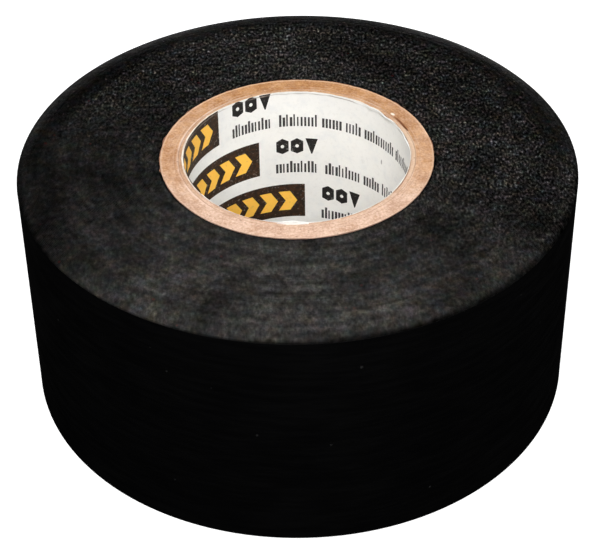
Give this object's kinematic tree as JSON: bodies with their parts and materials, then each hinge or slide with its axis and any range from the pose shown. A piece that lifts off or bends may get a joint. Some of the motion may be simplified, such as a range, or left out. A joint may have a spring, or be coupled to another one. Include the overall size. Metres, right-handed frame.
{
  "type": "electrical tape roll",
  "caption": "Wide roll of black vinyl electrical tape on a spirally wound kraft paper core with a white printed liner; the free end peels away from the outside.",
  "frame": {"origin": "centre of the roll's lower face, on the roll's axis, where the roll lies flat on a table", "axes": "+Z along the roll's axis, up out of the upper face; +X to the right and -Y towards a viewer who has the free end at the back"},
  "size_m": [0.0819, 0.0819, 0.0381],
  "materials": {
    "black_vinyl": "satin black film, matte on the slit edges",
    "kraft_board": "fibrous brown kraft paper board",
    "white_liner": "smooth white printed paper"
  },
  "bodies": {
    "roll": {"wound_tape": "black_vinyl", "core_liner": "white_liner", "core_ply_1": "kraft_board", "core_ply_2": "kraft_board", "core_ply_3": "kraft_board", "core_ply_4": "kraft_board", "core_ply_5": "kraft_board"},
    "tape_end_1": {"tape_end_1": "black_vinyl"},
    "tape_end_2": {"tape_end_2": "black_vinyl"},
    "tape_end_3": {"tape_end_3": "black_vinyl"},
    "tape_end_4": {"tape_end_4": "black_vinyl"}
  },
  "joints": [
    {"name": "tape_peel", "type": "hinge", "parent": "roll", "child": "tape_end_1", "pos_m": [0.01926, 0.03622, 0.01905], "axis": [0, 0, -1], "range_deg": [0, 120]},
    {"name": "tape_bend_2", "type": "hinge", "parent": "tape_end_1", "child": "tape_end_2", "pos_m": [0.00995, 0.03981, 0.01905], "axis": [0, 0, -1], "range_deg": [0, 14]},
    {"name": "tape_bend_3", "type": "hinge", "parent": "tape_end_2", "child": "tape_end_3", "pos_m": [0.00005, 0.04104, 0.01905], "axis": [0, 0, -1], "range_deg": [0, 14]},
    {"name": "tape_bend_4", "type": "hinge", "parent": "tape_end_3", "child": "tape_end_4", "pos_m": [-0.00986, 0.03985, 0.01905], "axis": [0, 0, -1], "range_deg": [0, 14]}
  ],
  "couplings": [
    {"joint": "tape_bend_2", "follows": "tape_peel", "ratio": 0.1163},
    {"joint": "tape_bend_3", "follows": "tape_peel", "ratio": 0.1163},
    {"joint": "tape_bend_4", "follows": "tape_peel", "ratio": 0.1163}
  ]
}
